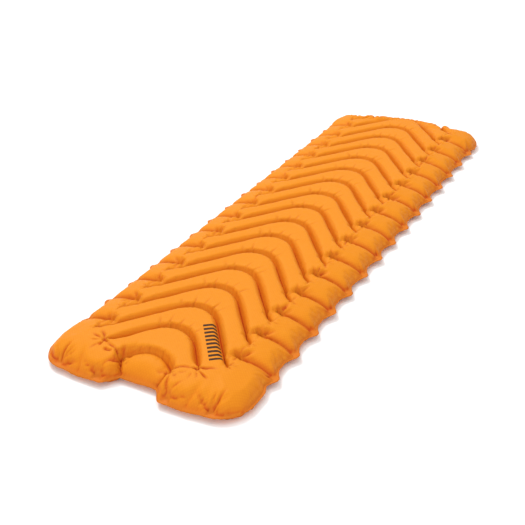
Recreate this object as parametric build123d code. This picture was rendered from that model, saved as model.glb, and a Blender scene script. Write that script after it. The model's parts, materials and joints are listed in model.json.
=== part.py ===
from build123d import *
import math
import os

# Inflatable sleeping pad, inflated, lying flat on the ground.
# Millimetres. Origin: centre of the footprint on the ground. +Y runs from the
# notched end to the plain end, +X across the pad, +Z up.

os.makedirs("parts", exist_ok=True)

# ---------------------------------------------------------------- dimensions
pad_length = 1829.0
pad_width = 584.0
pad_height = 64.0
weld_z = pad_height / 2          # plane in which the two sheets are welded
fabric_t = 0.5                   # coated fabric, each sheet
flange_w = 8.0                   # welded rim outside the air space
tab_out = 8.0                    # tab tips outside the rim between side pillows

pitch = 104.0                    # spacing of the V welds along the pad
weld_w = 5.0                     # width of one V weld
v_half = 184.0                   # V welds end this far from the centre line
v_rise = 186.0                   # apex of a V weld ahead of its two ends
v_radius = 82.0                  # rounding of the V apex
first_v = -775.0                 # Y of the ends of the second V weld
n_chambers = 17

rail_x = 228.0                   # centre line of the side pillows
rail_half = 48.0                 # half width of the side pillows
near_y = -pad_length / 2         # notched end
far_y = pad_length / 2           # plain end
lobe_y = near_y + flange_w + rail_half
far_lobe_y = 889.0 - flange_w - rail_half
notch_half = 62.0
notch_depth = 40.0
dot_r = 9.0                      # weld dots between the V ends
crown = pad_height - weld_z      # height of every air space above the welds
batt_t = 2.4                     # insulation strips
press = 1.2                      # how much every crest is pressed flat

pocket_r = 34.0                  # flat recess in the underside around a valve
pocket_z = 14.0
flip_x = -170.0                  # flip valve, under one corner lobe
adjust_x = 170.0                 # push-pull valve, under the other

# ------------------------------------------------------------ weld line shape
lo, hi = 0.1, 1.4
for _ in range(60):
    mid = (lo + hi) / 2
    if v_half * math.tan(mid) - v_radius * (1 / math.cos(mid) - 1) < v_rise:
        lo = mid
    else:
        hi = mid
arm_angle = lo


def v_line(x):
    """Y of a V weld at x, measured from the ends of that weld."""
    x = abs(x)
    xt = v_radius * math.sin(arm_angle)
    if x >= xt:
        return v_rise - v_radius * (1 - math.cos(arm_angle)) - (x - xt) * math.tan(arm_angle)
    return v_rise - v_radius + math.sqrt(v_radius ** 2 - x * x)


def weld(k, x):
    return first_v + (k - 2) * pitch + v_line(x)


def far_edge(x):
    return far_y - flange_w - 2.0 - 24.0 * (x / 120.0) ** 2


# -------------------------------------------------------- air-space building
def profile(half, sag):
    """Half of the bulge section: foot, middle of the flank, edge of the flat
    crest. Distances from the middle and heights above the weld plane. The arc
    would rise press above the crest, where it is pressed flat."""
    full = sag + press
    r = (half * half + full * full) / (2 * full)
    flat = math.sqrt(r * r - (r - press) ** 2)
    a0 = math.asin(min(1.0, half / r)) if full <= r else math.pi - math.asin(half / r)
    a1 = math.asin(flat / r)
    am = (a0 + a1) / 2
    return flat, (r * math.sin(am), full - r + r * math.cos(am))


def arch(p0, p2, up, sag):
    """Bulge section standing on the weld plane from p0 to p2."""
    mx, my = (p0[0] + p2[0]) / 2, (p0[1] + p2[1]) / 2
    half = math.hypot(p2[0] - p0[0], p2[1] - p0[1]) / 2
    ux, uy = (p2[0] - p0[0]) / (2 * half), (p2[1] - p0[1]) / (2 * half)
    flat, (fm, hm) = profile(half, sag)

    def at(d, h):
        return (mx + ux * d, my + uy * d, weld_z + up * h)

    a, b, c, d = at(-half, 0), at(-flat, sag), at(flat, sag), at(half, 0)
    return Wire([ThreePointArc(a, at(-fm, hm), b), Line(b, c), ThreePointArc(c, at(fm, hm), d), Line(d, a)])


def ladder(xs, y_lo, y_hi, up, sag, inset):
    wires = []
    for i, x in enumerate(xs):
        a, b = y_lo(x) + inset, y_hi(x) - inset
        s = sag(x) if callable(sag) else sag
        wires.append(arch((x, a), (x, b), up, s - inset))
    return Solid.make_loft(wires)


def chamber(k, up, sag, inset):
    end = {0: 118.0}.get(k, 205.0)
    base = [0, 22, 42, 60, 78, 95, 118, 150, 180, 205]
    xs = sorted({-x for x in base if x <= end} | {x for x in base if x <= end})
    w = weld_w / 2
    if k == n_chambers - 1:
        return ladder(xs, lambda x: weld(k, x) + w,
                      lambda x: min(weld(k + 1, x) - w, far_edge(x)), up,
                      lambda x: sag - 5.0 * max(0.0, 1 - abs(x) / 110.0), inset)
    return ladder(xs, lambda x: weld(k, x) + w, lambda x: weld(k + 1, x) - w, up, sag, inset)


def tube(p, q, up, half, sag, inset):
    """Straight half tube from p to q."""
    (x0, y0), (x1, y1) = p, q
    length = math.hypot(x1 - x0, y1 - y0)
    dx, dy = (x1 - x0) / length, (y1 - y0) / length
    h = half - inset
    w = arch((x0 - dy * h, y0 + dx * h), (x0 + dy * h, y0 - dx * h), up, sag - inset)
    return Solid.extrude(Face(w), Vector(x1 - x0, y1 - y0, 0))


def dome(cx, cy, start, sweep_deg, up, half, sag, inset):
    """Part of a spherical cap, turned about its own upright axis."""
    h, s = half - inset, sag - inset
    flat, (fm, hm) = profile(h, s)
    a, b, c, d = (0, 0, up * s), (flat, 0, up * s), (fm, 0, up * hm), (h, 0, 0)
    f = Face(Wire([Line((0, 0, 0), a), Line(a, b), ThreePointArc(b, c, d), Line(d, (0, 0, 0))]))
    d = Solid.revolve(f, sweep_deg, Axis.Z)
    return Pos(cx, cy, weld_z) * (Rot(0, 0, start) * d)


def cone(x, y, r0, r1, up, grow):
    """Funnel pressed into the air spaces over a weld dot or a rim tab."""
    depth = crown + 2
    c = Cone(r0 + grow, r1 + grow, depth, align=(Align.CENTER, Align.CENTER, Align.MIN))
    if x < 0:
        c = Rot(0, 0, 180) * c
    return Pos(x, y, weld_z) * (c if up > 0 else Rot(180, 0, 0) * c)


dots = [first_v + (j - 0.5) * pitch for j in range(1, 16)]


def air(up, sag, inset):
    """All the air spaces of one sheet, fused."""
    bits = [chamber(k, up, sag, inset) for k in range(n_chambers)]
    for s in (-1, 1):
        bits.append(tube((s * rail_x, lobe_y), (s * rail_x, far_lobe_y), up, rail_half, sag, inset))
        bits.append(tube((s * 112, lobe_y), (s * rail_x, lobe_y), up, rail_half, sag, inset))
        bits.append(dome(s * 112, lobe_y, 90 if s > 0 else -90, 180, up, rail_half, sag, inset))
        bits.append(dome(s * rail_x, lobe_y, -90 if s > 0 else 180, 90, up, rail_half, sag, inset))
        bits.append(tube((s * 168, far_lobe_y), (s * rail_x, far_lobe_y), up, rail_half, sag, inset))
        bits.append(dome(s * 168, far_lobe_y, 90 if s > 0 else -90, 180, up, rail_half, sag, inset))
        bits.append(dome(s * rail_x, far_lobe_y, 0 if s > 0 else 90, 90, up, rail_half, sag, inset))
    # small bolster in the notch
    xs = [-50, -40, -22, 0, 22, 40, 50]
    bits.append(ladder(xs, lambda x: near_y + notch_depth + 7 + 0.25 * max(0, abs(x) - 30),
                       lambda x: weld(0, x) - 4, up,
                       lambda x: sag * (0.72 - 0.44 * (abs(x) / 50.0) ** 3), inset))
    body = bits[0].fuse(*bits[1:])
    cuts = []
    for y in dots:
        for s in (-1, 1):
            cuts.append(cone(s * v_half, y, dot_r, 26.0, up, inset))
            cuts.append(cone(s * (pad_width / 2 - 2), y, 12.0, 40.0, up, inset))
    return body.cut(*cuts)


# --------------------------------------------------------------- rim outline
def rim_points():
    right = []
    edge = pad_width / 2 - tab_out
    for y in dots:
        right += [(edge, y - 17), (edge + tab_out, y - 5), (edge + tab_out, y + 5), (edge, y + 17)]
    return right


def rim_face(z):
    edge = pad_width / 2 - tab_out
    out = rail_half + flange_w
    c = math.sqrt(0.5)
    segs = []
    # notched end, from the notch to the corner, then up the right side
    p = [(0, near_y + notch_depth), (notch_half - 8, near_y + notch_depth)]
    segs.append(Line(p[0], p[1]))
    segs.append(Line(p[1], (notch_half - 6, near_y + 24)))
    a = (notch_half - 6, near_y + 24)
    b = (notch_half + 20, near_y)
    segs.append(ThreePointArc(a, (notch_half + 2, near_y + 7), b))
    c0 = (rail_x, near_y)
    segs.append(Line(b, c0))
    c1 = (rail_x + out, lobe_y)
    segs.append(ThreePointArc(c0, (rail_x + out * c, lobe_y - out * c), c1))
    last = c1
    for q in rim_points():
        if q != last:
            segs.append(Line(last, q))
        last = q
    c2 = (rail_x + out, far_lobe_y)
    segs.append(Line(last, c2))
    c3 = (rail_x, far_lobe_y + out)
    segs.append(ThreePointArc(c2, (rail_x + out * c, far_lobe_y + out * c), c3))
    c4 = (150.0, far_lobe_y + out)
    segs.append(Line(c3, c4))
    segs.append(ThreePointArc(c4, (122.0, far_lobe_y + out - 8), (96.0, far_lobe_y + out + 10)))
    segs.append(ThreePointArc((96.0, far_lobe_y + out + 10), (52.0, far_y - 4), (0, far_y)))
    wire = Wire(segs)
    mirrored = wire.mirror(Plane.YZ)
    return Face(Wire(list(wire.edges()) + list(mirrored.edges()))).moved(Location((0, 0, z)))


def solid_of(shape):
    """The largest solid of a boolean result."""
    found = []
    for q in (shape if isinstance(shape, (list, tuple)) else [shape]):
        found += list(q.solids())
    return max(found, key=lambda q: q.volume)


# ------------------------------------------------------------------- sheets
def disc(x, y, r, z0, z1):
    return Pos(x, y, z0) * Cylinder(r, z1 - z0, align=(Align.CENTER, Align.CENTER, Align.MIN))


def plain_sheet():
    """The lower sheet before its valve recesses: rim, welds and every bulge."""
    rim = Solid.extrude(rim_face(weld_z - fabric_t), Vector(0, 0, fabric_t))
    return solid_of(rim.fuse(air(-1, crown, 0.0)).cut(air(-1, crown, fabric_t)))


def recessed(sheet):
    """Set the two round valve recesses into the corner lobes."""
    for x, hole in ((flip_x, 16.2), (adjust_x, 7.2)):
        s = -1 if x < 0 else 1
        room = tube((s * 112, lobe_y), (s * rail_x, lobe_y), -1, rail_half, crown, 0.0)
        room = room.fuse(chamber(1, -1, crown, 0.0),
                         tube((s * rail_x, lobe_y), (s * rail_x, lobe_y + 150), -1, rail_half, crown, 0.0))
        cup = disc(x, lobe_y, pocket_r + fabric_t, -1, pocket_z + fabric_t)
        cup = solid_of(cup.cut(disc(x, lobe_y, pocket_r, -2, pocket_z)))
        cup = solid_of(cup.intersect(solid_of(room)))
        sheet = solid_of(sheet.cut(disc(x, lobe_y, pocket_r, -1, 20)))
        sheet = solid_of(sheet.fuse(cup))
        sheet = solid_of(sheet.cut(disc(x, lobe_y, hole, 5, 20)))
    return sheet


def batts():
    """Strips of loose insulation, one lying free in each V chamber."""
    strips = []
    for k in range(n_chambers):
        end = 92.0 if k == 0 else 165.0
        base = [0, 22, 42, 60, 78, 92, 118, 150, 165]
        xs = sorted({-x for x in base if x <= end} | {x for x in base if x <= end})
        wires = []
        for x in xs:
            a = weld(k, x) + 17
            b = weld(k + 1, x) - 17
            if k == n_chambers - 1:
                b = min(b, far_edge(x) - 15)
            z0, z1 = weld_z - batt_t / 2, weld_z + batt_t / 2
            wires.append(Wire([Line((x, a, z0), (x, b, z0)), Line((x, b, z0), (x, b, z1)),
                               Line((x, b, z1), (x, a, z1)), Line((x, a, z1), (x, a, z0))]))
        strips.append(Solid.make_loft(wires))
    return strips


# ------------------------------------------------------------------- valves
# Valve pieces are drawn with +Z pointing out of the pad, 0 on the outside face
# of the recess, then turned over and set into the underside.
def ring(r0, r1, z0, z1):
    h = z1 - z0
    al = (Align.CENTER, Align.CENTER, Align.MIN)
    return Pos(0, 0, z0) * (Cylinder(r1, h, align=al) - Cylinder(r0, h, align=al))


def rod(r, z0, z1):
    return Pos(0, 0, z0) * Cylinder(r, z1 - z0, align=(Align.CENTER, Align.CENTER, Align.MIN))


def block(x0, x1, y0, y1, z0, z1):
    return Pos((x0 + x1) / 2, (y0 + y1) / 2, (z0 + z1) / 2) * Box(x1 - x0, y1 - y0, z1 - z0)


def y_rod(r, x, z, y0, y1):
    return Pos(x, (y0 + y1) / 2, z) * (Rot(90, 0, 0) * Cylinder(r, y1 - y0))


def seat(shape, x):
    return Pos(x, lobe_y, pocket_z) * (Rot(180, 0, 0) * shape)


body_bore = 13.0
plug_hinge_x, plug_hinge_z = 24.5, 5.1
cap_hinge_x, cap_hinge_z = -20.0, 6.6
pin_r, run = 0.9, 0.05

# flip valve: weld ring, body, plug, disc, cap, seals, pins, patch
flip_flange = ring(17.0, 30.0, 0.0, 1.0)
flip_patch = ring(16.3, 30.0, -1.0, -0.5)

flip_body = rod(16.0, -7.0, 3.0) + ring(15.0, 21.5, 1.0, 3.0)
flip_body += block(18.5, 27.0, -6.0, 6.0, 1.0, 3.0)
flip_body -= rod(body_bore, -8.0, 4.0)
flip_body -= ring(15.0, 40.0, -8.0, -5.5) - rod(15.0, -8.0, -5.5)
for y0, y1 in ((3.2, 5.6), (-5.6, -3.2)):
    flip_body += block(plug_hinge_x - 2.2, plug_hinge_x + 2.2, y0, y1, 2.5, plug_hinge_z)
    flip_body += y_rod(2.2, plug_hinge_x, plug_hinge_z, y0, y1)
flip_body -= y_rod(pin_r, plug_hinge_x, plug_hinge_z, -7, 7)
plug_pin = y_rod(pin_r, plug_hinge_x, plug_hinge_z, -6.0, 6.0)

plug = rod(11.7, -4.0, 3.1) + rod(17.8, 3.1, 5.0)
plug -= rod(8.0, -5.0, 6.0)
plug -= ring(13.8, 15.8, 3.0, 3.7)
spokes = block(-8.5, 8.5, -1.0, 1.0, -4.0, -2.2) + block(-1.0, 1.0, -8.5, 8.5, -4.0, -2.2)
plug += spokes + rod(3.4, -4.0, -2.0)
plug -= rod(1.55, -5.0, 0.0)
plug += block(16.5, plug_hinge_x, -2.9, 2.9, 3.7, 5.0)
plug += y_rod(2.0, plug_hinge_x, plug_hinge_z, -2.9, 2.9)
plug -= y_rod(pin_r + run, plug_hinge_x, plug_hinge_z, -4, 4)
for y0, y1 in ((3.2, 5.4), (-5.4, -3.2)):
    plug += block(-21.8, -16.0, y0, y1, 3.4, 5.0)
    plug += block(cap_hinge_x - 1.8, cap_hinge_x + 1.8, y0, y1, 4.5, cap_hinge_z)
    plug += y_rod(1.8, cap_hinge_x, cap_hinge_z, y0, y1)
plug -= y_rod(pin_r - 0.1, cap_hinge_x, cap_hinge_z, -7, 7)
cap_pin = y_rod(pin_r - 0.1, cap_hinge_x, cap_hinge_z, -5.8, 5.8)
plug_seal = ring(13.85, 15.75, 3.02, 3.7)

check = rod(10.6, -5.1, -4.05) + rod(1.5, -5.0, 0.7) + rod(2.3, 0.1, 0.9)

cap = rod(16.6, 5.1, 7.2) + ring(5.9, 7.3, 1.6, 5.2)
cap -= ring(9.1, 10.9, 5.0, 5.7)
cap += block(14.0, 20.4, -4.2, 4.2, 5.1, 6.4)
cap += block(cap_hinge_x, -15.0, -2.9, 2.9, 5.6, 7.2)
cap += y_rod(1.6, cap_hinge_x, cap_hinge_z, -2.9, 2.9)
cap -= y_rod(pin_r - 0.1 + run, cap_hinge_x, cap_hinge_z, -4, 4)
cap -= ring(9.6, 13.0, 6.7, 7.3)
cap_seal = ring(9.15, 10.85, 5.02, 5.7)

# push-pull valve: weld ring, stem, sliding nozzle, seal, patch
adjust_flange = ring(7.6, 22.0, 0.0, 1.0)
adjust_patch = ring(7.3, 22.0, -1.0, -0.5)
stem = rod(7.0, -6.0, 7.6) + rod(12.0, 1.0, 2.4)
stem -= rod(4.2, -7.0, 8.0)
stem += block(-4.6, 4.6, -0.8, 0.8, -6.0, -4.2) + block(-0.8, 0.8, -4.6, 4.6, -6.0, -4.2)
stem += rod(1.3, -6.0, 9.0) + rod(2.3, 8.2, 9.8)
stem -= ring(6.0, 7.5, 5.0, 6.4)
nozzle = rod(9.0, 2.6, 10.6) - rod(7.06, 2.0, 8.0) - rod(2.36, 7.0, 11.0)
nozzle -= ring(8.3, 9.5, 4.4, 5.6)
nozzle += ring(8.0, 10.6, 2.6, 4.0)
nozzle_seal = Pos(0, 0, 5.7) * Torus(6.5, 0.45)

# -------------------------------------------------------------------- export
lower = plain_sheet()
nodes = {
    "top_sheet": lower.mirror(Plane.XY.offset(weld_z)),
    "bottom_sheet": recessed(lower),
    "flip_valve_flange": seat(flip_flange, flip_x),
    "flip_valve_patch": seat(flip_patch, flip_x),
    "flip_valve_body": seat(flip_body, flip_x),
    "plug_hinge_pin": seat(plug_pin, flip_x),
    "deflation_plug": seat(plug, flip_x),
    "plug_seal_ring": seat(plug_seal, flip_x),
    "cap_hinge_pin": seat(cap_pin, flip_x),
    "check_disc": seat(check, flip_x),
    "outer_cap": seat(cap, flip_x),
    "cap_seal_ring": seat(cap_seal, flip_x),
    "adjust_valve_flange": seat(adjust_flange, adjust_x),
    "adjust_valve_patch": seat(adjust_patch, adjust_x),
    "adjust_valve_stem": seat(stem, adjust_x),
    "adjust_nozzle": seat(nozzle, adjust_x),
    "nozzle_seal_ring": seat(nozzle_seal, adjust_x),
}
for k, strip in enumerate(batts()):
    nodes["insulation_batt_%02d" % (k + 1)] = strip
for name, shape in nodes.items():
    export_step(shape, os.path.join("parts", name + ".step"))
    b = shape.bounding_box()
    print(name, len(shape.solids()), round(shape.volume, 1), shape.is_valid,
          [round(v, 2) for v in (b.min.X, b.min.Y, b.min.Z, b.max.X, b.max.Y, b.max.Z)])
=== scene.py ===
"""Inflatable pad with V-shaped chambers and two valves, lying on the floor at z = 0.

X runs across the pad, Y along it from the notched near end (-Y) to the far end (+Y).
Shapes are worked out in millimetres. Finished meshes, materials, lights and camera are in
metres. Two fabric sheets share one grid; they meet at the welds and bulge between them.
"""
import json
import math

import bpy
import numpy as np
from mathutils import Matrix, Vector


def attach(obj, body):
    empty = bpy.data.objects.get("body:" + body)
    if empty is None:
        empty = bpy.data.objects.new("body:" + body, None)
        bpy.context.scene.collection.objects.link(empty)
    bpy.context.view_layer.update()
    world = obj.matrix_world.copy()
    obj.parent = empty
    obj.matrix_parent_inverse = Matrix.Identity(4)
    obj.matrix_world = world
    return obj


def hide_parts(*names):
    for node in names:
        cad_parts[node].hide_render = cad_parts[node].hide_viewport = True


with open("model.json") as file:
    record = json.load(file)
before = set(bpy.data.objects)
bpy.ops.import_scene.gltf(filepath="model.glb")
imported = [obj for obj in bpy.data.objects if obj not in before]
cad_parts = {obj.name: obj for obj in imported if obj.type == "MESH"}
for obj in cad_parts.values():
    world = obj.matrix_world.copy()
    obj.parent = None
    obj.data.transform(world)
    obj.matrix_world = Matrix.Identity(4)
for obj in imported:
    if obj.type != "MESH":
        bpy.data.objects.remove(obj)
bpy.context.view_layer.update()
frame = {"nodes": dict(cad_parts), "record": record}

# ------------------------------------------------------------------ layout
MM = 0.001
PITCH = 104.0                       # between V welds along Y
FIRST = -775.0                      # y where the arms of the first full V weld end
V_HALF, V_RISE, V_RADIUS = 184.0, 186.0, 82.0    # half span, rise, radius of the bend
NEAR, FAR = -914.5, 914.5           # y of the two ends
EDGE_X = 292.0                      # half width at the tabs
TAB_X = 281.0                       # x of the weld circles in the tabs
RIM = 9.0                           # width of the flat rim
WELD_Z, RIM_Z = 32.0, 15.0          # height of the weld plane inside and at the edge
WELD_HALF = 1.1                     # half width of a weld strip
CRESCENT = 3.2                      # extra weld width at the middle of a bend
HALF_GAP = 0.65                     # from the weld plane to each sheet
NEAR_STEPS, BAND_STEPS = 12, 26     # grid steps in the nearest band and in the others
WELD_COUNT = 18
WELD_ENDS = [0.0, 76.0, 131.0] + [V_HALF] * 16   # half span of each weld curve
DOTS = [FIRST + (j - 0.5) * PITCH for j in range(1, 16)]    # y of the weld dots
SIDES = (-1, 1)
VALVES = [(-170.0, -858.5, 20.5), (170.0, -858.5, 10.5)]    # x, y, hole radius
POCKET_Z = 14.0                     # ceiling of the recess around a valve

# weld circles: x, y, radius
CIRCLES = [(side * V_HALF, y, 5.5) for y in DOTS for side in SIDES]
CIRCLES += [(side * 216, NEAR + 15, 8.0) for side in SIDES]
CIRCLES += [(side * 98, NEAR + 11, 8.0) for side in SIDES]
CIRCLES += [(side * 214, FAR - 32, 8.0) for side in SIDES]
CIRCLES += [(side * TAB_X, y, 8.0) for y in DOTS for side in SIDES]


def arm_angle():
    """Slope angle at which bend and straight arm together span the V's rise."""
    low, high = 0.1, 1.4
    for _ in range(60):
        mid = (low + high) / 2
        if V_HALF * math.tan(mid) - V_RADIUS * (1 / math.cos(mid) - 1) < V_RISE:
            low = mid
        else:
            high = mid
    return low


ARM = arm_angle()
BEND_X = V_RADIUS * math.sin(ARM)   # x where the bend meets the arm


def smooth(a, b, x):
    t = np.clip((x - a) / (b - a), 0, 1)
    return t * t * (3 - 2 * t)


def soft_cap(z, start, room):
    """Above start, z levels off towards start + room."""
    return np.where(z > start, start + room * (1 - np.exp(-(z - start) / room)), z)


# ---------------------------------------------------------------- outlines
def arms_y(k):
    """y where the arms of the V weld k pitches past the two nearest end."""
    return FIRST + (k - 2) * PITCH


def v_raw(x):
    """Height of a V weld above its arm ends: a round bend with straight arms."""
    x = np.abs(x)
    arc = V_RISE - V_RADIUS + np.sqrt(np.maximum(V_RADIUS ** 2 - np.minimum(x, BEND_X) ** 2, 0))
    arm = V_RISE - V_RADIUS * (1 - math.cos(ARM)) - (x - BEND_X) * math.tan(ARM)
    return np.where(x < BEND_X, arc, arm)


def v_line(x, leave_x, level_x, level_y):
    """V weld that leaves its plain shape at leave_x and runs level from level_x."""
    x = np.abs(x)
    if leave_x > BEND_X:
        slope = -math.tan(ARM)
    else:
        slope = -leave_x / math.sqrt(V_RADIUS ** 2 - leave_x ** 2)
    span = level_x - leave_x
    t = np.clip((x - leave_x) / span, 0, 1)
    blend = ((2 * t ** 3 - 3 * t ** 2 + 1) * v_raw(leave_x)
             + (t ** 3 - 2 * t ** 2 + t) * span * slope
             + (-2 * t ** 3 + 3 * t ** 2) * level_y)
    return np.where(x < leave_x, v_raw(x), blend)


def near_edge(x):
    """Near outline: a notch in the middle, then lobes with rounded corners."""
    x = np.abs(x)
    notch = NEAR + 38.0 * (1 - smooth(48, 86, x))
    corner = np.clip((x - 204) / 86.0, 0, 1)
    return notch + 82.0 * (1 - np.sqrt(1 - corner * corner * 0.985)) + 5.0 * smooth(150, 204, x)


def far_edge(x):
    """Far outline: a middle apex, a dip on each side, then rounded corners."""
    x = np.abs(x)
    apex = FAR - 26.0 * (x / 100.0) ** 2
    lobe = FAR - 18.0
    dip = 12.0 * np.exp(-((x - 127) / 11.0) ** 2)
    to_lobe = smooth(95, 135, x)
    y = apex * (1 - to_lobe) + lobe * to_lobe - dip
    corner = np.clip((x - 196) / 94.0, 0, 1)
    return y - 100.0 * (1 - np.sqrt(1 - corner * corner * 0.985))


def dot_distance(y):
    return np.min([np.abs(y - dot) for dot in DOTS], axis=0)


def end_zone(y, near_from, near_to, far_from, far_to):
    """Rises from 0 to 1 past the first and last dots, at these distances from them."""
    return np.maximum(smooth(DOTS[0] - near_from, DOTS[0] - near_to, y),
                      smooth(DOTS[-1] + far_from, DOTS[-1] + far_to, y))


def side_edge(y):
    """Half width of the pad at y: tabs stand out, pillows pull the rim in."""
    away = dot_distance(y)
    tab = 20.5 * (1 - np.clip((away - 5.0) / 40.0, 0, 1)) ** 1.5
    edge = 271.5 + tab + 3.0 * np.exp(-((away - 52) / 16.0) ** 2)
    ends = end_zone(y, 22, 60, 22, 50)
    return edge * (1 - ends) + 287.0 * ends


def edge_distance(x, y):
    return np.minimum(np.minimum(side_edge(y) - np.abs(x), y - near_edge(x)), far_edge(x) - y)


def on_rim(x, y, slack=0.0):
    return ((np.abs(x) >= side_edge(y) - RIM + slack)
            | (y <= near_edge(x) + RIM) | (y >= far_edge(x) - RIM))


def middle(x, y):
    """Height of the weld plane: the rim droops towards the ground."""
    droop = 104.0                   # how far in from the edge it droops
    inside = np.minimum(edge_distance(x, y), droop)
    # the droop is shorter at the far end of the last chamber
    last = smooth(190, 140, np.abs(x)) * smooth(780, 830, y)
    inside = np.maximum(inside, np.minimum((far_edge(x) - y) * 5.0, droop) * last)
    return RIM_Z + (WELD_Z - RIM_Z) * smooth(0, droop, np.maximum(inside, 0))


def weld_curves(x):
    """The curves that bound the bands of the grid, from the near end on."""
    curves = [near_edge(x),
              arms_y(0) + v_line(x, 62.0, 110.0, 2 * PITCH - 66.0),
              arms_y(1) + v_line(x, 112.0, 150.0, PITCH - 40.0)]
    curves += [arms_y(k) + v_line(x, 148.0, 198.0, 0.0) for k in range(2, 18)]
    far = far_edge(x)
    curves[-1] = np.minimum(curves[-1], far - RIM)
    return curves + [far]


def crescent(x):
    """Extra width of a weld strip on the far side of its bend."""
    return CRESCENT * np.exp(-(np.abs(x) / 46.0) ** 4)


# --------------------------------------------------------------- pad grid
def pad_grid():
    """Grid of x and y whose rows follow the welds."""
    half = np.concatenate([np.arange(0, 76, 2.75), np.arange(77.5, 168, 4.0),
                           np.arange(170, 282, 3.2), [283.5, 288, EDGE_X]])
    columns = np.concatenate([-half[:0:-1], half])
    curves = np.array(weld_curves(columns))
    rows = []
    for band, (near, far) in enumerate(zip(curves, curves[1:])):
        gap = far - near
        start = 0.0 if band == 0 else WELD_HALF + crescent(columns) * (band > 1)
        stop = 0.0 if band == WELD_COUNT else WELD_HALF
        start, stop = np.minimum(start, gap * 0.2), np.minimum(stop, gap * 0.2)
        steps = NEAR_STEPS if band == 0 else BAND_STEPS
        for step in range(steps + 1):
            rows.append(near + start + (gap - start - stop) * (step / steps))
    y = np.array(rows)
    x = np.tile(columns, (len(rows), 1))
    # the outer columns bend to the side edge
    across = np.abs(x)
    shift = (side_edge(y) - EDGE_X) * np.clip((across - 236) / 56.0, 0, 1)
    return np.sign(x) * (across + shift), y


def pinned(x, y):
    """Points of the weld strips and the rim, held in the weld plane."""
    pin = np.zeros(x.shape, bool)
    for k in range(1, WELD_COUNT + 1):
        row = NEAR_STEPS + 1 + (k - 1) * (BAND_STEPS + 1)
        strip = slice(row - 1, row + 1)
        pin[strip] |= np.abs(x[strip]) <= WELD_ENDS[k]
    return pin | on_rim(x, y, slack=0.6)


def pin_circle(x, y, pin, centre_x, centre_y, radius):
    """Pull nearby free points onto a weld circle, in place, and pin all within it."""
    away = np.hypot(x - centre_x, y - centre_y)
    close = (away > radius * 0.6) & (away < radius + 2.0) & (np.abs(away - radius) < 2.2) & ~pin
    scale = radius / away[close]
    x[close] = centre_x + (x[close] - centre_x) * scale
    y[close] = centre_y + (y[close] - centre_y) * scale
    return pin | (np.hypot(x - centre_x, y - centre_y) <= radius + 0.3)


# ------------------------------------------------- first guess of the shape
def film_height(at_x, at_y):
    """Height of a soap film over the unwelded area, solved on a square raster."""
    step = 2.0
    margin = 4
    left, near = -(EDGE_X + margin), NEAR - margin
    column_count = int(-2 * left / step) + 1
    row_count = int((FAR - NEAR + 2 * margin) / step) + 1
    columns = left + step * np.arange(column_count)
    rows = near + step * np.arange(row_count)
    x, y = np.meshgrid(columns, rows)
    across = np.abs(x)
    curves = np.array(weld_curves(columns))
    solid = on_rim(x, y)
    for k in range(1, WELD_COUNT + 1):
        slope = np.gradient(curves[k], columns)
        away = np.abs(y - curves[k][None, :]) / np.sqrt(1 + slope[None, :] ** 2)
        solid |= (away <= WELD_HALF) & (across <= WELD_ENDS[k])
        if k > 1:
            widened = curves[k] + WELD_HALF + crescent(columns)
            solid |= (y > curves[k]) & (y < widened) & (across <= 90)
    # a slanting bar on each side of the notch
    for side in SIDES:
        bar_x, bar_y, run_x, run_y = side * 50, NEAR + 42, side * 24, 32
        t = ((x - bar_x) * run_x + (y - bar_y) * run_y) / (run_x ** 2 + run_y ** 2)
        t = np.clip(t, 0, 1)
        solid |= np.hypot(x - bar_x - t * run_x, y - bar_y - t * run_y) < 2.0
    for centre_x, centre_y, radius in CIRCLES:
        solid |= np.hypot(x - centre_x, y - centre_y) <= radius
    # half-open creases between each dot and its tab hold the film down
    drag = np.zeros(x.shape)
    for dot in DOTS:
        pull = 0.030 * np.exp(-((y - dot) / 3.2) ** 2) * smooth(V_HALF, V_HALF + 6, across)
        drag = np.maximum(drag, pull)
    # red-black over-relaxation
    relax = 1.9
    free = ~solid[1:-1, 1:-1]
    even = ((np.add.outer(np.arange(row_count), np.arange(column_count)) % 2) == 0)[1:-1, 1:-1]
    film = np.zeros(x.shape)
    centre = film[1:-1, 1:-1]
    soft = 1.0 / (4.0 + drag[1:-1, 1:-1] * step * step)
    for _ in range(260):
        for mask in (free & even, free & ~even):
            around = film[:-2, 1:-1] + film[2:, 1:-1] + film[1:-1, :-2] + film[1:-1, 2:]
            centre += relax * ((around + step * step) * soft - centre) * mask
    film = np.sqrt(np.maximum(2 * film, 0))
    # bilinear samples of the raster
    u = np.clip((at_x - left) / step, 0, column_count - 1.001)
    v = np.clip((at_y - near) / step, 0, row_count - 1.001)
    i, j = u.astype(int), v.astype(int)
    u, v = u - i, v - j
    return (film[j, i] * (1 - u) * (1 - v) + film[j, i + 1] * u * (1 - v)
            + film[j + 1, i] * (1 - u) * v + film[j + 1, i + 1] * u * v)


def crown(film):
    """Turn film height into a round tube section that flattens at the top."""
    s = film / 29.0
    flank = 1 - np.maximum(1 - s, 0) ** 1.32
    cap = 1 + 0.10 * (1 - np.exp(-np.maximum(s - 1, 0) / 0.4))
    return 30.5 * np.where(s < 1, flank, cap)


def pinch(x, y):
    """Side pillows and end lobes are thinner than the chambers."""
    across = np.abs(x)
    lobes = end_zone(y, 20, 90, 20, 60)
    thin = 1 - 0.24 * smooth(158, 192, across) - 0.06 * lobes
    low = 0.16 + 0.27 * np.sin(np.pi * np.clip((across - 190) / 90.0, 0, 1))
    bulge = (1 - np.clip(1 - dot_distance(y) / 50.0, 0, 1) ** 2.1) ** 0.64
    pillow = low + (1 - low) * bulge
    run = smooth(184, 206, across) * (1 - lobes)
    ramp = 0.42 + 0.58 * smooth(4, 66, np.minimum(y - near_edge(x), far_edge(x) - y))
    return thin * (1 - run + run * pillow) * ramp


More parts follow.
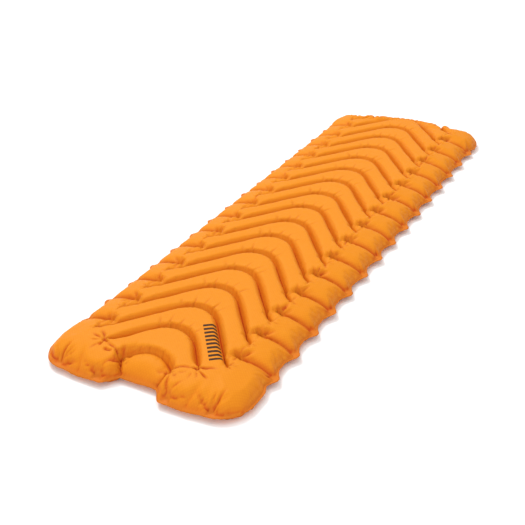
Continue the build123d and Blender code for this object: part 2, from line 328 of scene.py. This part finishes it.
# ------------------------------------------------------- creases and folds
def hashed(*keys):
    """Repeatable number between 0 and 1."""
    factors = (12.9898, 78.233, 37.719, 94.673)
    value = math.sin(sum(a * b for a, b in zip(keys, factors))) * 43758.5453
    return value - math.floor(value)


def crease_fan(total, x, y, centre, start, reach, angles, depth, width, seed):
    """Add creases that run out from a weld end, a dot or a tab."""
    close = (np.abs(x - centre[0]) < reach) & (np.abs(y - centre[1]) < reach)
    x, y = x[close] - centre[0], y[close] - centre[1]
    for n, angle in enumerate(angles):
        angle += 0.30 * (hashed(seed, n, 1) - 0.5)
        length = reach * (0.55 + 0.45 * hashed(seed, n, 2))
        along = x * math.cos(angle) + y * math.sin(angle)
        bend = 0.40 * (hashed(seed, n, 3) - 0.5) * along * along / reach
        off = np.abs(-x * math.sin(angle) + y * math.cos(angle) + bend)
        wide = width * (0.8 + 0.5 * hashed(seed, n, 4)) * (0.75 + 0.5 * along / reach)
        fade = smooth(start - 1, start + 5, along) * (1 - smooth(0.35, 1.0, along / length))
        groove = np.exp(-(off / np.maximum(wide, 1.0)) ** 1.35)
        shoulder = 0.45 * np.exp(-((off - 2.3 * wide) / (1.2 * wide)) ** 2)
        total[close] += depth * (0.6 + 0.7 * hashed(seed, n, 5)) * fade * (groove - shoulder)


# crease angles, from straight out or straight in
DOT_OUT = np.array([-1.25, -0.75, -0.3, 0.05, 0.45, 0.9, 1.35])
DOT_IN = np.array([-0.9, -0.3, 0.35, 0.9])
TAB_IN = np.array([-0.95, -0.5, 0.5, 0.95])
WELD_OUT = np.array([-1.0, -0.45, 0.1, 0.6, 1.1])

# fans at the pad's ends, right half: x, y, start, reach, first angle, last angle, creases
END_FANS = [
    (216, NEAR + 15, 9, 62, 0.35, 2.9, 8),
    (98, NEAR + 11, 9, 54, 0.35, 2.8, 7),
    (214, FAR - 32, 9, 54, -2.9, -0.3, 7),
    (131, FIRST - 40, 1, 44, -2.6, 0.6, 7),
    (78, FIRST - 62, 1, 46, -2.9, 0.3, 7),
    (66, NEAR + 60, 2, 40, -0.6, 1.9, 6),
    (122, FAR - 58, 4, 42, -3.0, 0.0, 6),
]


def bend_creases(total, x, y):
    """Short creases across the tube on the far side of every bend."""
    for k in range(1, 17):
        centre_y = arms_y(k) + V_RISE - V_RADIUS
        close = (np.abs(x) < 120) & (y > centre_y) & (y < centre_y + V_RADIUS + 70)
        near_x, near_y = x[close], y[close] - centre_y
        for n in range(5):
            angle = math.pi / 2 + (n - 2) * 0.30 + 0.12 * (hashed(k, n, 7) - 0.5)
            length = 30 + 26 * hashed(k, n, 8)
            along = near_x * math.cos(angle) + near_y * math.sin(angle)
            along -= V_RADIUS + WELD_HALF + 5.0
            bend = 0.008 * (hashed(k, n, 9) - 0.5) * along ** 2
            off = -near_x * math.sin(angle) + near_y * math.cos(angle) + bend
            groove = np.exp(-(off / 2.9) ** 2)
            shoulder = 0.4 * np.exp(-((np.abs(off) - 6.0) / 3.2) ** 2)
            fade = smooth(0, 6, along) * (1 - smooth(0.2, 1.0, along / length))
            total[close] += (2.0 + 2.0 * hashed(k, n, 10)) * (groove - shoulder) * fade


def creases(x, y, height):
    """All the crease lines of one sheet, as a depth below the plain shape."""
    total = np.zeros_like(x)
    for side in SIDES:
        right = side > 0
        out = 0.0 if right else math.pi
        inward = out + math.pi
        for j, dot in enumerate(DOTS):
            seed = j + 40 * right
            crease_fan(total, x, y, (side * V_HALF, dot), start=9, reach=48,
                       angles=out + DOT_OUT, depth=6.2, width=2.9, seed=10 + seed)
            crease_fan(total, x, y, (side * V_HALF, dot), start=9, reach=34,
                       angles=inward + DOT_IN, depth=4.2, width=2.7, seed=110 + seed)
            crease_fan(total, x, y, (side * TAB_X, dot), start=8, reach=40,
                       angles=inward + TAB_IN, depth=6.5, width=3.2, seed=210 + seed)
        for k in range(2, 18):
            crease_fan(total, x, y, (side * V_HALF, arms_y(k)), start=1, reach=34,
                       angles=out + WELD_OUT, depth=5.8, width=2.8, seed=310 + k + 40 * right)
        for n, (fan_x, fan_y, start, reach, first, last, count) in enumerate(END_FANS):
            angles = np.linspace(first, last, count)
            if not right:
                angles = math.pi - angles
            crease_fan(total, x, y, (side * fan_x, fan_y), start=start, reach=reach * 1.3,
                       angles=angles, depth=9.0, width=3.6, seed=410 + 10 * n + right)
    bend_creases(total, x, y)
    return np.maximum(total, -1.2) * np.clip(height / 9.0, 0, 1)


def folds(x, y):
    """Share of the height lost in sharp folds."""
    across = np.abs(x)
    total = np.zeros_like(x)
    for side in SIDES:
        # from each dot to its tab, between two side pillows
        for n, dot in enumerate(DOTS):
            run = np.clip((across - V_HALF) / 97.0, 0, 1)
            bend = 5.0 * (hashed(n, side, 31) - 0.5) * np.sin(np.pi * run)
            off = np.abs(y - dot - bend)
            fold = 0.46 * np.exp(-(off / 6.5) ** 1.15) + 0.20 * np.exp(-(off / 20.0) ** 2)
            fold *= smooth(V_HALF + 2, V_HALF + 14, across)
            total = np.maximum(total, np.where(x * side > 0, fold, 0))
    # the near lobes are pinched about half way between their two rim circles
    off = np.abs(across - 158 - 0.25 * (y - NEAR - 30))
    fold = 0.34 * np.exp(-(off / 8.0) ** 1.2) * (1 - smooth(NEAR + 34, NEAR + 78, y))
    return np.maximum(total, np.where(x != 0, fold, 0))


def excess(x, y):
    """Where the flat sheets have cloth to spare, so that it wrinkles."""
    # round spots on both halves: x, y, radius, amount
    spots = [(V_HALF, dot, 42, 1.0) for dot in DOTS]
    spots += [(284, dot, 40, 1.0) for dot in DOTS]
    spots += [(V_HALF + 4, arms_y(k), 34, 0.9) for k in range(2, 18)]
    spots += [(132, FIRST - 40, 34, 0.9), (216, NEAR + 22, 58, 1.0), (98, NEAR + 22, 52, 1.0),
              (64, NEAR + 46, 40, 1.0), (222, FAR - 46, 46, 1.0), (122, FAR - 60, 40, 1.0)]
    across = np.abs(x)
    spare = np.zeros_like(x)
    for spot_x, spot_y, radius, amount in spots:
        away = (across - spot_x) ** 2 + (y - spot_y) ** 2
        spare = np.maximum(spare, amount * np.exp(-away / radius ** 2))
    # along the far side of every bend
    for k in range(17):
        past = y - (arms_y(k) + v_raw(x))
        strip = 0.95 * np.exp(-(across / 62.0) ** 4) * smooth(-4, 4, past)
        spare = np.maximum(spare, strip * (1 - smooth(20, 52, past)))
    return spare


# ------------------------------------------------------- meshes and cloth
def grid_faces(rows, columns, flip=False):
    j, i = np.mgrid[0:rows - 1, 0:columns - 1]
    corner = (j * columns + i).ravel()
    quads = np.stack([corner, corner + 1, corner + columns + 1, corner + columns], 1)
    return quads[:, ::-1] if flip else quads


def new_mesh(name, points, faces, **attributes):
    """Smooth-shaded mesh object with float attributes on its points."""
    mesh = bpy.data.meshes.new(name)
    mesh.from_pydata([tuple(p) for p in points.tolist()], [], [tuple(f) for f in faces.tolist()])
    mesh.update()
    mesh.polygons.foreach_set("use_smooth", [True] * len(mesh.polygons))
    for key, values in attributes.items():
        attribute = mesh.attributes.new(key, "FLOAT", "POINT")
        attribute.data.foreach_set("value", np.asarray(values, np.float32).ravel())
    obj = bpy.data.objects.new(name, mesh)
    bpy.context.scene.collection.objects.link(obj)
    return obj


CLOTH = dict(
    quality=6, mass=0.15, air_damping=3.0,
    tension_stiffness=60, compression_stiffness=25, shear_stiffness=12, bending_stiffness=0.25,
    tension_damping=12, compression_damping=12, shear_damping=8, bending_damping=0.5,
    use_pressure=True, uniform_pressure_force=4.0,
    vertex_group_mass="pin", pin_stiffness=50,
    # negative shrink grows the cloth where it has spare
    shrink_min=-0.07, shrink_max=0.0, vertex_group_shrink="spare",
)


def simulate(x, y, z, pin):
    """Inflate one sheet with Blender's cloth, held along every weld."""
    frames = 12
    scale = 0.01                    # millimetres to a size that suits the solver
    points = np.stack([x * scale, y * scale, z * scale], -1).reshape(-1, 3)
    sheet = new_mesh("sim_sheet", points, grid_faces(*x.shape))
    held = sheet.vertex_groups.new(name="pin")
    held.add(np.nonzero(pin.ravel())[0].tolist(), 1.0, "REPLACE")
    # twenty levels of weight; the lowest weight has the most spare cloth
    spare = sheet.vertex_groups.new(name="spare")
    levels = np.round((1 - excess(x, y).ravel()) * 20).astype(int)
    for level in range(21):
        members = np.nonzero(levels == level)[0].tolist()
        if members:
            spare.add(members, level / 20.0, "REPLACE")
    cloth = sheet.modifiers.new("Cloth", "CLOTH")
    for key, value in CLOTH.items():
        setattr(cloth.settings, key, value)
    cloth.settings.effector_weights.gravity = 0
    cloth.collision_settings.use_collision = False
    cloth.point_cache.frame_start = 1
    cloth.point_cache.frame_end = frames + 1
    scene = bpy.context.scene
    scene.frame_start, scene.frame_end = 1, frames + 1
    for number in range(1, frames + 1):
        scene.frame_set(number)
    blown = sheet.evaluated_get(bpy.context.evaluated_depsgraph_get()).data.vertices
    result = np.empty(len(blown) * 3)
    blown.foreach_get("co", result)
    result = result.reshape(*x.shape, 3) / scale
    bpy.data.objects.remove(sheet, do_unlink=True)
    scene.frame_set(1)
    # no point moves further than this from the first guess
    longest = 7.0
    rest = np.stack([x, y, z], -1)
    move = result - rest
    move[pin] = 0
    size = np.linalg.norm(move, axis=-1, keepdims=True)
    move *= np.minimum(1, longest / np.maximum(size, 1e-6))
    result = rest + move
    result[..., 2] = np.maximum(soft_cap(result[..., 2], 28.0, 5.0), np.where(pin, 0, 0.2))
    return result


def value_noise(x, y, cell, seed):
    """Smooth repeatable noise between -1 and 1."""
    def corner(i, j):
        n = (i * 374761393 + j * 668265263 + seed * 2147483647) & 0xFFFFFFFF
        n = ((n ^ (n >> 13)) * 1274126177) & 0xFFFFFFFF
        return ((n ^ (n >> 16)) & 0xFFFF) / 32767.5 - 1.0
    u, v = x / cell, y / cell
    i, j = np.floor(u).astype(np.int64), np.floor(v).astype(np.int64)
    u, v = smooth(0, 1, u - i), smooth(0, 1, v - j)
    return (corner(i, j) * (1 - u) * (1 - v) + corner(i + 1, j) * u * (1 - v)
            + corner(i, j + 1) * (1 - u) * v + corner(i + 1, j + 1) * u * v)


def rim_wave(x, y):
    """The free edge of the rim is not quite flat."""
    out = np.clip((RIM - edge_distance(x, y)) / RIM, 0, 1)
    return out * (2.6 * value_noise(x, y, 27.0, 5) + 1.0 * value_noise(x, y, 9.0, 6) - 0.8)


# -------------------------------------------------------------- the sheets
grid_x, grid_y = pad_grid()
pin = pinned(grid_x, grid_y)
for circle in CIRCLES:
    pin = pin_circle(grid_x, grid_y, pin, *circle)
guess = crown(film_height(grid_x, grid_y)) * pinch(grid_x, grid_y)
guess[pin] = 0
sheet = simulate(grid_x, grid_y, guess, pin)
sheet_x, sheet_y, plain = sheet[..., 0], sheet[..., 1], sheet[..., 2]
plain = plain + np.clip(plain / 20.0, 0, 1) * (
    0.7 * value_noise(sheet_x, sheet_y, 31.0, 11) + 0.35 * value_noise(sheet_x, sheet_y, 15.0, 12))
crease, fold = creases(grid_x, grid_y, guess), folds(grid_x, grid_y)

# the underside is calm around the valves
calm = np.ones(grid_x.shape)
for valve_x, valve_y, _ in VALVES:
    calm = np.minimum(calm, smooth(42, 74, np.hypot(grid_x - valve_x, grid_y - valve_y)))


def lined(strength):
    """Distance of a sheet from the welds, with creases and folds of this strength."""
    return np.maximum(plain * (1 - fold * strength) - crease * strength, np.where(pin, 0, 0.3))


low_lift = lined(calm)
top_lift = soft_cap(lined(1.0), 29.0, 3.0)
# painted shade along creases and folds, read by the fabric shader
line = np.clip(np.maximum(crease / 5.5, (fold - 0.16) / 0.5), 0, 1) * ~pin
weld_z = middle(grid_x, grid_y)
wave = rim_wave(sheet_x, sheet_y)
flat = edge_distance(grid_x, grid_y) < RIM + 1.0
for centre_x, centre_y, radius in CIRCLES:
    flat |= np.hypot(grid_x - centre_x, grid_y - centre_y) <= radius + 0.5
weld = np.where(flat, 1.0, pin * crescent(grid_x) / CRESCENT)

top_z = weld_z + HALF_GAP + top_lift + wave
top_points = np.stack([sheet_x, sheet_y, top_z], -1).reshape(-1, 3) * MM
# lift and the crease mask drive the painted shade of the fabric shader
top = new_mesh("top_skin", top_points, grid_faces(*grid_x.shape),
               weld=weld, lift=top_lift, line=line)

# underside: the same welds, pressed flat where it rests on the ground
low_z = weld_z - HALF_GAP - low_lift + wave
low_z = np.where(low_z < 3.2, 0.2 + 3.0 * np.exp((low_z - 3.2) / 3.0), low_z)


def underside():
    """Lower sheet, with a round opening at each valve."""
    points = np.stack([sheet_x, sheet_y, low_z], -1).reshape(-1, 3) * MM
    faces = grid_faces(*grid_x.shape, flip=True)
    centres = points[faces].mean(1) / MM
    keep = np.ones(len(faces), bool)
    for valve_x, valve_y, _ in VALVES:
        keep &= np.hypot(centres[:, 0] - valve_x, centres[:, 1] - valve_y) > 40.5
    used = np.unique(faces[keep])
    renumber = np.full(len(points), -1)
    renumber[used] = np.arange(len(used))
    return new_mesh("bottom_skin", points[used], renumber[faces[keep]], weld=weld.ravel()[used],
                    lift=low_lift.ravel()[used], line=(line * calm).ravel()[used])


def pocket(name, valve_x, valve_y, hole):
    """Round recess around a valve, lapped onto the underside."""
    radii = np.array([hole, hole + 2, 24.0, 28.0, 31.5, 33.0, 33.6, 34.2, 34.9, 35.7, 36.6,
                      37.6, 38.8, 40.2, 41.8, 43.4, 45.0])
    angles = np.linspace(0, 2 * math.pi, 120, endpoint=False)
    radius, angle = np.meshgrid(radii, angles, indexing="ij")
    x, y = valve_x + radius * np.cos(angle), valve_y + radius * np.sin(angle)
    # height of the underside, by inverse distance from its grid points
    close = np.hypot(sheet_x - valve_x, sheet_y - valve_y) < 60
    away = ((x.ravel()[:, None] - sheet_x[close]) ** 2
            + (y.ravel()[:, None] - sheet_y[close]) ** 2)
    weight = 1.0 / (away + 1.5) ** 2
    skin = ((weight * low_z[close]).sum(1) / weight.sum(1)).reshape(x.shape)
    lap = np.maximum(skin - 0.8, 0.03)
    wall = smooth(33.0, 38.8, radius)
    z = (POCKET_Z + 0.05) * (1 - wall) + lap * wall
    rings, count = radius.shape
    i, j = np.mgrid[0:rings - 1, 0:count]
    i, j = i.ravel(), j.ravel()
    after = (j + 1) % count
    faces = np.stack([i * count + j, i * count + after,
                      (i + 1) * count + after, (i + 1) * count + j], 1)
    # the lift attribute dips over the groove, so the fabric shader paints shade into it
    groove = smooth(33.6, 35.0, radius) * (1 - smooth(36.0, 38.8, radius))
    return new_mesh(name, np.stack([x, y, z], -1).reshape(-1, 3) * MM, faces,
                    weld=smooth(38.8, 40.2, radius) * 0.8,
                    lift=30.0 - 16.0 * groove, line=np.zeros(radius.shape))


bottom = underside()
pockets = [pocket("valve_recess_%d" % (n + 1), *valve) for n, valve in enumerate(VALVES)]
for skin in (top, bottom, *pockets):
    solid = skin.modifiers.new("Thickness", "SOLIDIFY")
    solid.thickness = 0.0005
    solid.offset = -1.0
    solid.use_quality_normals = True

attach(top, "pad")
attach(bottom, "pad")
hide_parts("top_sheet")
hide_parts("bottom_sheet")
for recess in pockets:
    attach(recess, "pad")


# --------------------------------------------------------------- materials
class Shader:
    """A Principled material, built node by node."""

    def __init__(self, name):
        self.material = bpy.data.materials.new(name)
        self.material.use_nodes = True
        self.tree = self.material.node_tree
        self.principled = self.tree.nodes["Principled BSDF"]
        self.coords = self.node("ShaderNodeTexCoord").outputs["Object"]

    def feed(self, socket, value):
        """Link a socket, or set its value."""
        if isinstance(value, bpy.types.NodeSocket):
            self.tree.links.new(value, socket)
        else:
            socket.default_value = (*value, 1.0) if socket.type == "RGBA" else value

    def node(self, kind, **inputs):
        node = self.tree.nodes.new(kind)
        for key, value in inputs.items():
            self.feed(node.inputs[key], value)
        return node

    def math(self, operation, *values, clamp=False):
        node = self.node("ShaderNodeMath")
        node.operation = operation
        node.use_clamp = clamp
        for socket, value in zip(node.inputs, values):
            self.feed(socket, value)
        return node.outputs[0]

    def times(self, a, b, clamp=False):
        return self.math("MULTIPLY", a, b, clamp=clamp)

    def plus(self, a, b):
        return self.math("ADD", a, b)

    def minus(self, a, b, clamp=False):
        return self.math("SUBTRACT", a, b, clamp=clamp)

    def mix(self, factor, a, b):
        node = self.node("ShaderNodeMix")
        node.data_type = "RGBA"
        for index, value in ((0, factor), (6, a), (7, b)):
            self.feed(node.inputs[index], value)
        return node.outputs[2]

    def tint(self, color, mask, strength, to):
        return self.mix(self.times(mask, strength), color, to)

    def noise(self, scale, detail=3.0, roughness=0.55, vector=None):
        return self.node("ShaderNodeTexNoise", Scale=scale, Detail=detail, Roughness=roughness,
                         Vector=vector or self.coords).outputs["Fac"]

    def streaks(self, stretch, **noise):
        mapping = self.node("ShaderNodeMapping", Scale=stretch, Vector=self.coords)
        return self.noise(1.0, vector=mapping.outputs[0], **noise)

    def separate(self, vector):
        return self.node("ShaderNodeSeparateXYZ", Vector=vector).outputs

    def attribute(self, name):
        node = self.node("ShaderNodeAttribute")
        node.attribute_name = name
        return node.outputs["Fac"]

    def bump(self, height, distance, strength, **normal):
        return self.node("ShaderNodeBump", Height=height, Distance=distance, Strength=strength,
                         **normal).outputs["Normal"]

    def surface(self, inputs):
        for key, value in inputs.items():
            self.feed(self.principled.inputs[key], value)
        return self.material


SHADE_AND_DARK_TONE, PALE = (0.50, 0.034, 0.003), (0.80, 0.33, 0.024)     # painted shade in valleys, creases and on steep sides, also darker random tone and heavy threads; paler fabric on welds
WEAVE, DIAMOND = 0.00055, 0.0078    # spacing of the plain weave and of the heavy threads
INK = (0.012, 0.009, 0.010)
PRINT_X, PRINT_Y = 0.109, -0.713    # centre of the printed bars
PRINT_HALF_LENGTH, PRINT_HALF_WIDTH = 0.076, 0.0160
BAR_PITCH, BAR_FILL = 0.0160, 0.56


def printed_bars(cloth, x, y, z, mottle):
    """Mask of a printed row of bars along one arm, on the upper side only."""
    across, along = cloth.minus(x, PRINT_X), cloth.minus(y, PRINT_Y)
    cos, sin = math.cos(-ARM), math.sin(-ARM)
    u = cloth.plus(cloth.times(across, cos), cloth.times(along, sin))
    v = cloth.minus(cloth.times(along, cos), cloth.times(across, sin))
    in_u = cloth.math("LESS_THAN", cloth.math("ABSOLUTE", u), PRINT_HALF_LENGTH)
    in_v = cloth.math("LESS_THAN", cloth.math("ABSOLUTE", v), PRINT_HALF_WIDTH)
    repeat = cloth.math("DIVIDE", cloth.plus(u, PRINT_HALF_LENGTH), BAR_PITCH)
    bars = cloth.math("LESS_THAN", cloth.math("FRACT", repeat), BAR_FILL)
    ink = cloth.times(cloth.times(in_u, in_v), bars)
    ink = cloth.times(ink, cloth.math("GREATER_THAN", z, 0.040))
    return cloth.times(ink, cloth.plus(0.86, cloth.times(mottle, 0.14)))


def coated_fabric(name, base, printed):
    cloth = Shader(name)
    x, y, z = cloth.separate(cloth.coords)
    weave = cloth.times(*(cloth.math("SINE", cloth.times(axis, 2 * math.pi / WEAVE))
                          for axis in (x, y)))
    # heavier threads cross the cloth in a diamond grid
    threads = []
    for diagonal in (cloth.plus(x, y), cloth.minus(x, y)):
        ripple = cloth.math("COSINE", cloth.times(diagonal, math.pi / DIAMOND))
        threads.append(cloth.math("POWER", cloth.math("ABSOLUTE", ripple), 14.0))
    diamonds = cloth.math("MAXIMUM", *threads)
    cloud = cloth.noise(9.0, detail=4.0)
    mottle = cloth.noise(130.0, detail=5.0, roughness=0.6)
    pucker = cloth.noise(45.0, roughness=0.6)
    weld, lift = cloth.attribute("weld"), cloth.attribute("lift")
    # painted shade: darker red broadly towards the welds, and as a thin dark line along each
    # valley
    low = cloth.minus(1.0, cloth.math("DIVIDE", lift, 22.0), clamp=True)
    valley_shade = cloth.minus(1.0, cloth.math("DIVIDE", lift, 9.0), clamp=True)
    # painted shade along the crease lines
    painted_crease_shade = cloth.math("POWER", cloth.attribute("line"), 1.3)
    # painted shade: steep sides are coloured darker and redder
    normal_z = cloth.separate(cloth.node("ShaderNodeNewGeometry").outputs["Normal"])["Z"]
    steep_shade = cloth.minus(0.92, cloth.math("ABSOLUTE", normal_z), clamp=True)

    # painted shade: valleys, crease lines and steep sides turn dark red
    color = cloth.tint(base, low, strength=0.22, to=SHADE_AND_DARK_TONE)
    color = cloth.tint(color, valley_shade, strength=0.88, to=SHADE_AND_DARK_TONE)
    color = cloth.tint(color, painted_crease_shade, strength=0.85, to=SHADE_AND_DARK_TONE)
    color = cloth.mix(cloth.times(steep_shade, 0.42, clamp=True), color, SHADE_AND_DARK_TONE)
    color = cloth.tint(color, weld, strength=0.45, to=PALE)
    color = cloth.tint(color, cloud, strength=0.22, to=PALE)
    color = cloth.tint(color, mottle, strength=0.16, to=SHADE_AND_DARK_TONE)
    color = cloth.tint(color, diamonds, strength=0.13, to=SHADE_AND_DARK_TONE)
    rough = cloth.plus(0.46, cloth.times(mottle, 0.16))
    rough = cloth.minus(rough, cloth.times(weld, 0.08))
    if printed:
        ink = printed_bars(cloth, x, y, z, mottle)
        color = cloth.mix(ink, color, INK)
        rough = cloth.plus(rough, cloth.times(ink, 0.1))

    normal = cloth.bump(pucker, distance=0.0009, strength=0.35)
    normal = cloth.bump(mottle, distance=0.0003, strength=0.35, Normal=normal)
    normal = cloth.bump(diamonds, distance=0.00006, strength=0.5, Normal=normal)
    normal = cloth.bump(weave, distance=0.00004, strength=0.5, Normal=normal)
    return cloth.surface({
        "Base Color": color, "Roughness": rough, "Specular IOR Level": 0.10,
        "Sheen Weight": 0.02, "Sheen Roughness": 0.45, "Sheen Tint": (1.0, 0.62, 0.30),
        "Normal": normal})


def moulded(name, base):
    """Grained plastic with paler, scuffed edges."""
    plastic = Shader(name)
    grain = plastic.noise(2600.0, detail=2.0)
    broad = plastic.noise(70.0, detail=4.0)
    scuff = plastic.noise(420.0, detail=6.0, roughness=0.7)
    pointed = plastic.node("ShaderNodeNewGeometry").outputs["Pointiness"]
    edge = plastic.times(plastic.minus(pointed, 0.52), 9.0, clamp=True)
    light = tuple(min(1.0, c * 1.5 + 0.05) for c in base)
    dark = tuple(c * 0.72 for c in base)
    color = plastic.mix(broad, dark, base)
    normal = plastic.bump(grain, distance=0.00006, strength=0.5)
    return plastic.surface({
        "Base Color": plastic.mix(plastic.times(edge, scuff), color, light),
        "Roughness": plastic.plus(0.32, plastic.times(scuff, 0.24)),
        "Normal": plastic.bump(scuff, distance=0.00004, strength=0.4, Normal=normal)})


def rubber(name, base, roughness, through=0.0):
    """Dusty soft material; through is the weight of light passing inside it."""
    soft = Shader(name)
    dust = soft.noise(300.0, detail=6.0, roughness=0.7)
    grain = soft.noise(3000.0, detail=2.0)
    dusty = tuple(min(1.0, c + 0.10) for c in base)
    return soft.surface({
        "Base Color": soft.tint(base, dust, strength=0.30, to=dusty),
        "Roughness": soft.plus(roughness - 0.08, soft.times(dust, 0.2)),
        "Subsurface Weight": through, "Subsurface Scale": 0.002,
        "Normal": soft.bump(grain, distance=0.00004, strength=0.4)})


def steel(name):
    metal = Shader(name)
    lines = metal.streaks((4000.0, 120.0, 4000.0), detail=4.0)
    return metal.surface({
        "Base Color": metal.mix(lines, (0.42, 0.42, 0.43), (0.66, 0.66, 0.67)),
        "Metallic": 1.0,
        "Roughness": metal.plus(0.22, metal.times(lines, 0.2)),
        "Normal": metal.bump(lines, distance=0.00002, strength=0.5)})


def fibre(name):
    wool = Shader(name)
    strands = wool.streaks((900.0, 160.0, 900.0), detail=8.0, roughness=0.7)
    return wool.surface({
        "Base Color": wool.mix(strands, (0.62, 0.62, 0.60), (0.90, 0.90, 0.88)),
        "Roughness": 0.95, "Sheen Weight": 0.5,
        "Normal": wool.bump(strands, distance=0.002, strength=0.7)})


def pale_floor():
    """Matt floor that can be looked through from below."""
    paint = Shader("pale_floor")
    paint.surface({
        "Base Color": paint.mix(paint.noise(3.0), (0.93, 0.93, 0.93), (0.96, 0.96, 0.96)),
        "Roughness": 0.9, "Specular IOR Level": 0.1})
    sides = paint.node("ShaderNodeMixShader").inputs
    paint.feed(sides[0], paint.node("ShaderNodeNewGeometry").outputs["Backfacing"])
    paint.feed(sides[1], paint.principled.outputs[0])
    paint.feed(sides[2], paint.node("ShaderNodeBsdfTransparent").outputs[0])
    output = paint.tree.nodes["Material Output"]
    paint.feed(output.inputs["Surface"], sides[0].node.outputs[0])
    return paint.material


top.data.materials.append(
    coated_fabric("orange_coated_fabric", (0.755, 0.256, 0.008), printed=True))
under_fabric = coated_fabric("orange_coated_fabric_under", (0.74, 0.225, 0.010), printed=False)
for skin in (bottom, *pockets):
    skin.data.materials.append(under_fabric)

# materials of the CAD pieces, by slot name
MATERIALS = {
    "insulation": fibre("insulation_fibre"),
    "weld_film": rubber("weld_film", (0.055, 0.055, 0.06), roughness=0.42, through=0.05),
    "valve_grey": moulded("valve_grey_plastic", (0.030, 0.031, 0.034)),
    "valve_orange": moulded("valve_orange_plastic", (0.60, 0.105, 0.014)),
    "silicone": rubber("clear_silicone", (0.52, 0.54, 0.54), roughness=0.35, through=0.5),
    "seal_rubber": rubber("black_seal_rubber", (0.02, 0.02, 0.02), roughness=0.55),
    "pin_steel": steel("drawn_pin_steel"),
}
for part in frame["record"]["subparts"]:
    piece = frame["nodes"].get(part["node"])
    if piece is None or part["material_slot"] not in MATERIALS:
        continue
    material = MATERIALS[part["material_slot"]]
    for slot in piece.material_slots:
        slot.material = material
    if not piece.material_slots:
        piece.data.materials.append(material)

# ------------------------------------------------------- stage and camera
floor_material = pale_floor()
bpy.ops.mesh.primitive_plane_add(size=60, location=(0, 0, -0.0005))
floor = bpy.context.object
floor.name = "floor"
floor.data.materials.append(floor_material)

scene = bpy.context.scene
world = bpy.data.worlds.new("studio")
scene.world = world
world.use_nodes = True
background = world.node_tree.nodes["Background"]
background.inputs["Color"].default_value = (1, 1, 1, 1)
background.inputs["Strength"].default_value = 0.85


def disk_light(name, place, target, size, power):
    light = bpy.data.lights.new(name, "AREA")
    light.shape = "DISK"
    light.size = size
    light.energy = power
    obj = bpy.data.objects.new(name, light)
    scene.collection.objects.link(obj)
    obj.location = place
    obj.rotation_euler = (Vector(target) - Vector(place)).to_track_quat("-Z", "Y").to_euler()


disk_light("key", place=(-2.4, 1.0, 4.3), target=(0, 0, 0), size=1.6, power=114)
disk_light("top", place=(0.5, -0.5, 5.0), target=(0, 0, 0), size=3.5, power=30)
disk_light("fill", place=(1.0, -4.2, 1.7), target=(0, -0.6, 0), size=2.4, power=30)


def add_camera(place, yaw, pitch, roll, lens):
    """Camera that looks along +Y, turned by yaw about Z, tipped down and rolled."""
    ahead = Vector((math.sin(yaw) * math.cos(pitch), math.cos(yaw) * math.cos(pitch),
                    -math.sin(pitch)))
    level = Vector((math.cos(yaw), -math.sin(yaw), 0))
    upright = level.cross(ahead)
    right = level * math.cos(roll) + upright * math.sin(roll)
    up = upright * math.cos(roll) - level * math.sin(roll)
    data = bpy.data.cameras.new("camera")
    camera = bpy.data.objects.new("camera", data)
    scene.collection.objects.link(camera)
    turn = Matrix((right, up, -ahead)).transposed().to_4x4()
    camera.matrix_world = Matrix.Translation(place) @ turn
    data.sensor_width = 36
    data.lens = lens
    data.clip_start, data.clip_end = 0.01, 100
    scene.camera = camera


add_camera(place=(1.0902, -2.1346, 1.2566), yaw=-0.5300, pitch=0.5189, roll=-0.0485,
           lens=60.054857)
scene.view_settings.view_transform = "Standard"
scene.view_settings.look = "None"
